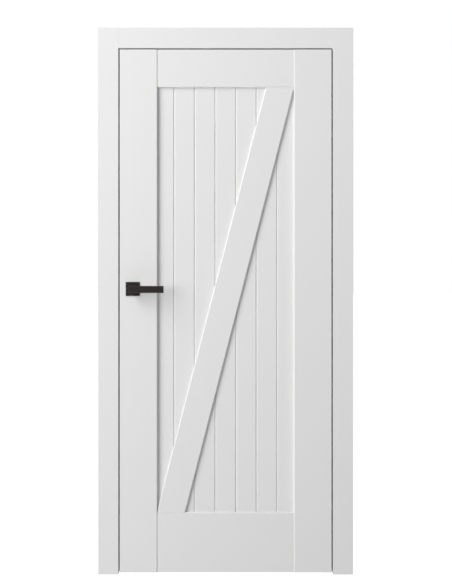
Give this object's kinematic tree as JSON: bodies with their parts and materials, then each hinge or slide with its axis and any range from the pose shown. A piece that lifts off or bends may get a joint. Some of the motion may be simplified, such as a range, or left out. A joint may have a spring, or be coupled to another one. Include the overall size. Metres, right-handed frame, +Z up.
{
  "type": "barn-style hinged interior door set",
  "caption": "White framed and boarded door leaf with a diagonal brace, hung on concealed hinges in a jamb frame with flat casings, with square black lever handles.",
  "frame": {"origin": "On the hinge jamb's outer face, which stands against the wall, at floor level and at the middle of the wall's thickness.", "axes": "+Z up, +X from the lock side towards the hinge side and out of the hinge jamb into the wall, +Y through the wall from the pull side that the picture shows to the push side."},
  "size_m": [0.976, 0.178, 2.091],
  "materials": {
    "white_paint": "satin white paint on wood board",
    "black_handle": "matt black powder coat",
    "lock_steel": "satin steel",
    "hinge_metal": "satin nickelled metal",
    "seal_rubber": "pale grey soft rubber"
  },
  "bodies": {
    "frame": {"hinge_jamb": "white_paint", "lock_jamb": "white_paint", "head_jamb": "white_paint", "front_hinge_casing": "white_paint", "front_lock_casing": "white_paint", "front_head_casing": "white_paint", "back_hinge_casing": "white_paint", "back_lock_casing": "white_paint", "back_head_casing": "white_paint", "hinge_seal": "seal_rubber", "lock_seal": "seal_rubber", "head_seal": "seal_rubber", "strike_plate": "lock_steel", "upper_hinge_jamb_body": "hinge_metal", "lower_hinge_jamb_body": "hinge_metal"},
    "leaf": {"lock_stile": "white_paint", "hinge_stile": "white_paint", "top_rail": "white_paint", "bottom_rail": "white_paint", "board_panel": "white_paint", "front_brace": "white_paint", "back_brace": "white_paint", "lock_forend": "lock_steel", "latch_bolt": "lock_steel", "front_rose": "black_handle", "back_rose": "black_handle", "upper_hinge_leaf_body": "hinge_metal", "lower_hinge_leaf_body": "hinge_metal"},
    "handle": {"front_lever": "black_handle", "back_lever": "black_handle", "spindle": "lock_steel"},
    "hinge_arms": {"upper_hinge_arm": "hinge_metal", "lower_hinge_arm": "hinge_metal"}
  },
  "joints": [
    {"name": "leaf_swing", "type": "hinge", "parent": "frame", "child": "leaf", "pos_m": [-0.0425, -0.063, 0], "axis": [0, 0, 1], "range_deg": [0, 95]},
    {"name": "hinge_arm_swing", "type": "hinge", "parent": "frame", "child": "hinge_arms", "pos_m": [-0.0425, -0.063, 0], "axis": [0, 0, 1], "range_deg": [0, 48]},
    {"name": "lever_turn", "type": "hinge", "parent": "leaf", "child": "handle", "pos_m": [-0.805, -0.04, 1.093], "axis": [0, 1, 0], "range_deg": [0, 40], "stiffness_Nm_per_rad": 2, "springref_deg": -34.38}
  ],
  "couplings": [
    {"joint": "hinge_arm_swing", "follows": "leaf_swing", "ratio": 0.5}
  ]
}
